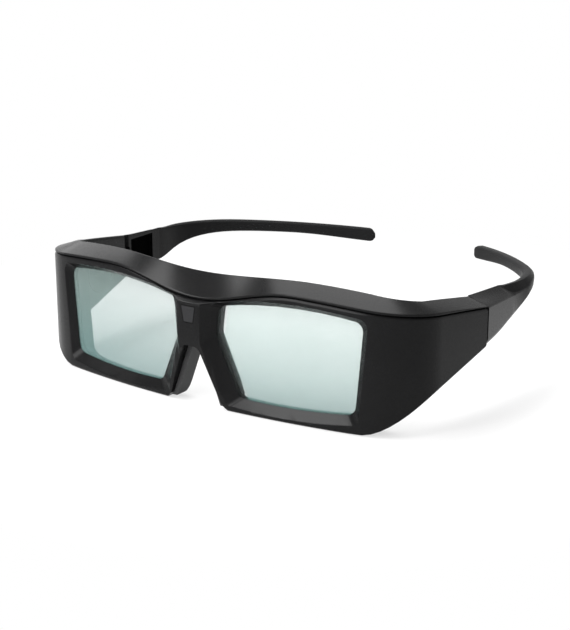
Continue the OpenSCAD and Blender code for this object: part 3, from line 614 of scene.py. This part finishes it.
@dataclass
class Moulding:
    """One moulded piece: the solid's own shape with its facets blended and its sharp edges broken."""

    node: str
    body: str
    slot: str
    finish: Finish
    edge_break: float = 0.22 * MM
    edge_segments: int = 2
    room_share: float = 2.5
    narrow_share: float = 1.6
    lens_plane: Optional[LensPlane] = None
    lens_chamfer: float = 0.32 * MM
    sharp_deg: float = 30.0
    flat_deg: float = 0.25
    weld: float = 0.002 * MM
    sliver: float = 0.02 * MM

    def build(self) -> None:
        """Makes the piece and lets it stand for its solid."""
        mesh = self._mesh()
        mesh.materials.append(material_of(self.finish))
        piece = bpy.data.objects.new(f"{self.node}_moulded", mesh)
        bpy.context.scene.collection.objects.link(piece)
        weighted = piece.modifiers.new("face_weighted", "WEIGHTED_NORMAL")
        weighted.keep_sharp = True
        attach(piece, self.body)
        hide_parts(self.node)
        LOG.info("%s: %d faces", piece.name, len(mesh.polygons))

    def _mesh(self) -> bpy.types.Mesh:
        """Works a copy of the solid's mesh.

        Returns:
            The new mesh, without the normals that the solid came with.
        """
        mesh = bpy.data.meshes.new(f"{self.node}_moulded")
        work = bmesh.new()
        work.from_mesh(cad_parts[self.node].data)
        self._clean(work, self.weld)
        bmesh.ops.dissolve_limit(
            work, angle_limit=math.radians(self.flat_deg), verts=work.verts, edges=work.edges)
        if self.lens_plane:
            self._chamfer_lens_edges(work, self.lens_plane)
        self._break_edges(work)
        self._clean(work, self.sliver)
        for face in work.faces:
            face.smooth = True
        for edge in work.edges:
            edge.smooth = edge.calc_face_angle(0.0) < math.radians(self.sharp_deg)
        work.to_mesh(mesh)
        work.free()
        stale = mesh.attributes.get("custom_normal")
        if stale:
            mesh.attributes.remove(stale)
        return mesh

    def _clean(self, work: bmesh.types.BMesh, near: float) -> None:
        """Joins points that lie together and drops what collapses.

        Args:
            work: the mesh, changed in place.
            near: the distance under which points are one.
        """
        bmesh.ops.remove_doubles(work, verts=work.verts, dist=near)
        bmesh.ops.dissolve_degenerate(work, dist=near, edges=work.edges)

    def _is_sharp(self, edge: bmesh.types.BMEdge) -> bool:
        """Whether an edge is a corner of the piece."""
        return edge.is_manifold and edge.calc_face_angle(0.0) > math.radians(self.sharp_deg)

    def _bevel(self, work: bmesh.types.BMesh, edges: list[bmesh.types.BMEdge], offset: float,
               segments: int) -> None:
        """Bevels edges.

        Args:
            work: the mesh, changed in place.
            edges: what is bevelled.
            offset: how far from an edge its bevel starts.
            segments: how many faces lie across it.
        """
        bmesh.ops.bevel(work, geom=edges, offset=offset, offset_type="OFFSET", segments=segments,
                        profile=0.5, affect="EDGES", material=-1, clamp_overlap=False)

    def _chamfer_lens_edges(self, work: bmesh.types.BMesh, plane: LensPlane) -> None:
        """Cuts a narrow chamfer along the edges that meet a lens.

        Args:
            work: the mesh, changed in place.
            plane: where the lenses lie.
        """
        edges = [e for e in work.edges if self._is_sharp(e) and plane.holds(e)]
        self._bevel(work, edges, self.lens_chamfer, 1)

    def _break_edges(self, work: bmesh.types.BMesh) -> None:
        """Rounds the sharp edges that have room for it.

        Edges at the ends of a short edge or around a narrow face stay sharp, to keep bevels from overlapping.

        Args:
            work: the mesh, changed in place.
        """
        room = self.room_share * self.edge_break
        narrow = self.narrow_share * self.edge_break
        tight = {v for e in work.edges if e.calc_length() < room for v in e.verts}
        # A face's mean width is twice its area over its perimeter.
        thin = {e for f in work.faces if 2.0 * f.calc_area() < narrow * f.calc_perimeter() for e in f.edges}
        sharp = [e for e in work.edges if self._is_sharp(e)]
        edges = [e for e in sharp if e not in thin and not tight.intersection(e.verts)]
        self._bevel(work, edges, self.edge_break, self.edge_segments)


def dress(node: str, finish: Finish) -> None:
    """Gives a solid that keeps its own mesh its finish.

    Args:
        node: the solid's name.
        finish: what it is dressed in.
    """
    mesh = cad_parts[node].data
    mesh.materials.clear()
    mesh.materials.append(material_of(finish))
    LOG.info("%s: dressed in %s", node, finish.name)


@dataclass
class Housing:
    """The wrap-around housing: two shells, nose pad, infrared window, battery cover and hinge blocks."""

    body: str = "frame"
    pad_edge_break: float = 0.25 * MM

    def build(self) -> None:
        """Builds the mouldings and dresses the small solids."""
        Moulding("front_shell", self.body, "shell", SATIN_BLACK, lens_plane=LensPlane()).build()
        Moulding("rear_shell", self.body, "shell", SATIN_BLACK).build()
        Moulding("nose_pad", self.body, "nose_pad", SOFT_RUBBER, edge_break=self.pad_edge_break).build()
        Moulding("battery_cover", self.body, "fittings", MATT_BLACK).build()
        for side in Side:
            Moulding(f"{side.value}_hinge_block", self.body, "fittings", MATT_BLACK).build()
            dress(f"{side.value}_hinge_pin", BRIGHT_STEEL)
        dress("ir_window", IR_BLACK)


@dataclass
class Temple:
    """One folding temple."""

    side: Side

    def build(self) -> None:
        """Builds the temple on its own body."""
        name = f"{self.side.value}_temple"
        Moulding(name, name, "shell", TEMPLE_BLACK).build()


@dataclass
class ShutterLens:
    """One lens: two polarising films on a glass cell, held by a foam gasket."""

    side: Side

    def build(self) -> None:
        """Dresses the films, the cell and the gasket."""
        dress(f"{self.side.value}_front_polariser", FRONT_FILMS[self.side])
        dress(f"{self.side.value}_shutter_cell", CELL_GLASS)
        dress(f"{self.side.value}_rear_polariser", REAR_FILM)
        dress(f"{self.side.value}_lens_gasket", FOAM_BLACK)


@dataclass
class Electronics:
    """The circuit and the battery: receiver, lead, board, switch, button and the cell with its contacts."""

    def build(self) -> None:
        """Dresses every piece of the circuit."""
        for node, finish in (
            ("ir_receiver", EPOXY_BLACK),
            ("controller_chip", EPOXY_BLACK),
            ("flat_lead", AMBER_LEAD),
            ("main_board", SOLDER_MASK),
            ("power_switch", BRIGHT_STEEL),
            ("coin_cell", BRIGHT_STEEL),
            ("cover_screw", BRIGHT_STEEL),
            ("minus_contact", SPRING_BRONZE),
            ("plus_contact", SPRING_BRONZE),
            ("cell_holder", MATT_BLACK),
            ("power_button", DARK_GREY),
        ):
            dress(node, finish)


@dataclass(frozen=True)
class Lamp:
    """A square soft lamp that faces the glasses; places and sizes in metres, power in watts."""

    name: str
    place: Place
    size: float
    power: float
    aim: Place = (0.0, -0.05, 0.02)

    def build(self) -> None:
        """Hangs the lamp."""
        data = bpy.data.lights.new(self.name, "AREA")
        data.shape = "SQUARE"
        data.size = self.size
        data.energy = self.power
        lamp = bpy.data.objects.new(self.name, data)
        lamp.location = self.place
        lamp.rotation_euler = (Vector(self.aim) - Vector(self.place)).to_track_quat("-Z", "Y").to_euler()
        bpy.context.scene.collection.objects.link(lamp)


LAMPS = (
    Lamp("front_top_light", (-0.41, -0.48, 0.93), 0.56, 12.0),
    Lamp("back_top_light", (-0.39, 0.39, 0.94), 0.82, 11.0),
    Lamp("far_light", (-0.98, 0.52, 0.54), 0.42, 1.3),
    Lamp("front_light", (-0.30, -1.25, 0.50), 0.70, 13.0),
)


@dataclass
class Studio:
    """A white table under soft light, and the camera."""

    camera_from_bridge: Place = (0.32758, -0.41451, 0.19428)
    azimuth_deg: float = 34.57
    elevation_deg: float = 16.81
    focal_mm: float = 88.57
    sensor_mm: float = 36.0
    clip: Span = (0.01, 50.0)
    floor_size: float = 8.0
    floor_tone: float = 0.92
    floor_glow: float = 0.66
    shadow_fade_from: float = 0.10
    shadow_fade_to: float = 0.20
    room_tone: float = 0.28
    backdrop_rise: float = 0.45

    def build(self) -> None:
        """Makes the camera, the floor, the world and the lamps."""
        self._camera()
        self._floor()
        self._world()
        for lamp in LAMPS:
            lamp.build()

    def _camera(self) -> None:
        """Puts the camera where the picture was taken from, measured from the bridge's front face."""
        data = bpy.data.cameras.new("camera")
        data.lens = self.focal_mm
        data.sensor_width = self.sensor_mm
        data.sensor_fit = "AUTO"
        data.clip_start, data.clip_end = self.clip
        camera = bpy.data.objects.new("camera", data)
        camera.location = Vector((0.0, CAD_BOX[0].y, 0.0)) + Vector(self.camera_from_bridge)
        camera.rotation_euler = (math.radians(90.0 - self.elevation_deg), 0.0, math.radians(self.azimuth_deg))
        bpy.context.scene.collection.objects.link(camera)
        bpy.context.scene.camera = camera

    def _seen_directly(self, bench: Bench, mirrored: Value = 1.0) -> Expr:
        """1 for rays from the camera, reflections and glass, 0 for the light that the object gets.

        Args:
            bench: the maker of nodes.
            mirrored: how much of it reflections and glass show.

        Returns:
            The share of the background that a ray meets.
        """
        path = bench.make("ShaderNodeLightPath", {}, {})
        through = bench.value(path, "Is Glossy Ray") + bench.value(path, "Is Transmission Ray")
        return (bench.value(path, "Is Camera Ray") + through * mirrored).clamped()

    def _floor_material(self) -> bpy.types.Material:
        """Makes the table's white, whose glow rises with the distance from the glasses: painted light that
        fades out the far part of their shadow.

        Returns:
            The material.
        """
        material = bpy.data.materials.new("floor_white")
        material.use_nodes = True
        bench = Bench(material.node_tree)
        matt = bench.make("ShaderNodeBsdfDiffuse", {}, {"Color": (*(self.floor_tone,) * 3, 1.0)})
        glow = bench.make("ShaderNodeEmission", {}, {"Strength": 1.0})
        length = bench.make("ShaderNodeVectorMath", {"operation": "LENGTH"}, {0: bench.place()})
        # Painted light: the floor glows more with the distance from the glasses, which washes out the far
        # part of their shadow.
        shadow_fade = ((bench.value(length, "Value") - self.shadow_fade_from) / (self.shadow_fade_to - self.shadow_fade_from)).clamped()
        share = self.floor_glow + shadow_fade * (1.0 - self.floor_glow)
        mixed = bench.mix(self._seen_directly(bench) * share, matt.outputs[0], glow.outputs[0])
        bench.make("ShaderNodeOutputMaterial", {}, {"Surface": mixed})
        return material

    def _floor(self) -> None:
        """Makes the table, which keeps the object's shadow."""
        mesh = bpy.data.meshes.new("floor")
        work = bmesh.new()
        bmesh.ops.create_grid(work, x_segments=1, y_segments=1, size=self.floor_size / 2)
        work.to_mesh(mesh)
        work.free()
        mesh.materials.append(self._floor_material())
        floor = bpy.data.objects.new("floor", mesh)
        bpy.context.scene.collection.objects.link(floor)

    def _world(self) -> None:
        """Makes the background: white where it is seen, a plain level where it only lights."""
        world = bpy.data.worlds.new("studio")
        world.use_nodes = True
        bench = Bench(world.node_tree)
        white = (1.0, 1.0, 1.0, 1.0)
        room = bench.make("ShaderNodeBackground", {}, {"Color": white, "Strength": self.room_tone})
        backdrop = bench.make("ShaderNodeBackground", {}, {"Color": white, "Strength": 1.0})
        low = (1.0 - bench.height() / self.backdrop_rise).clamped()
        mixed = bench.mix(self._seen_directly(bench, low), room.outputs[0], backdrop.outputs[0])
        bench.make("ShaderNodeOutputWorld", {}, {"Surface": mixed})
        bpy.context.scene.world = world


def main() -> None:
    """Builds the studio, then the sub-assemblies in order."""
    logging.basicConfig(level=logging.INFO, format="%(message)s")
    bpy.context.scene.view_settings.view_transform = "Standard"
    Studio().build()
    Housing().build()
    for side in Side:
        Temple(side).build()
        ShutterLens(side).build()
    Electronics().build()


if __name__ == "__main__":
    main()
